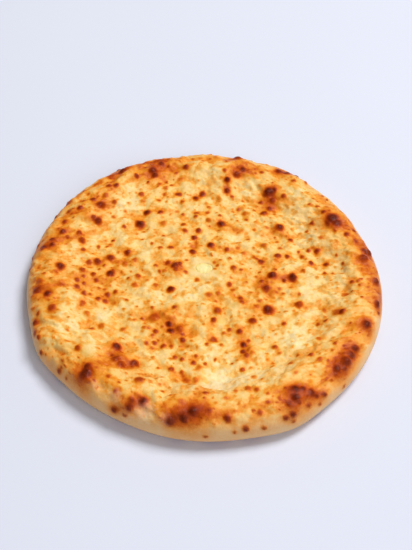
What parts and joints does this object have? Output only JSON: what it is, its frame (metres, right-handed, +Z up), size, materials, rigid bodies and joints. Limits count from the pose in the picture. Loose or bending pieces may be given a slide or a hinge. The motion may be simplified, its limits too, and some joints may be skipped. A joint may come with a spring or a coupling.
{
  "type": "imeruli khachapuri",
  "caption": "Whole round Georgian cheese bread: flat disc with a thick puffed rim, rumpled blistered top and a small vent of melted cheese near the middle.",
  "frame": {"origin": "middle of the bread's footprint (its bounding box), on the surface that it rests on", "axes": "+Z up out of the blistered top, +X to the right and +Y to the far side seen from where the rim is thickest"},
  "size_m": [0.255, 0.259, 0.0249],
  "materials": {
    "baked_dough": "baked dough, golden yellow with orange toasting and dark brown blisters, dull with a faint butter sheen",
    "melted_cheese": "melted cheese, pale yellow, softly glossy"
  },
  "bodies": {
    "root": {"bread": "baked_dough", "vent_cheese": "melted_cheese"}
  },
  "joints": []
}
